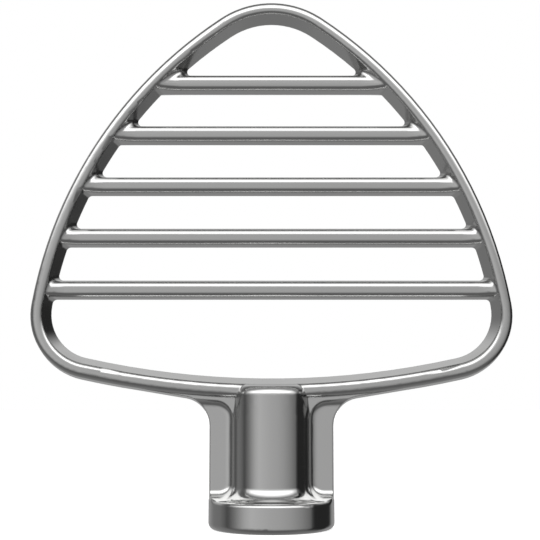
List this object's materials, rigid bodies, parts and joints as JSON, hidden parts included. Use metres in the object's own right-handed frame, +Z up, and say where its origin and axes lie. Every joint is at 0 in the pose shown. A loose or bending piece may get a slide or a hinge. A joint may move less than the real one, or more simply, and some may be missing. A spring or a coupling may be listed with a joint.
{
  "type": "stand mixer flat beater",
  "caption": "Triangular ring with level bars across it on a round hub, for mixing dough; a bore in the hub's end takes the mixer's shaft.",
  "frame": {"origin": "centre of the collar's end face, where the shaft goes in", "axes": "+Z up the shaft axis towards the ring's crown, X across the ring's width, Y through its thickness"},
  "size_m": [0.1334, 0.0342, 0.1469],
  "materials": {
    "polished_steel": "polished"
  },
  "bodies": {
    "root": {"flat_beater": "polished_steel"}
  },
  "joints": []
}
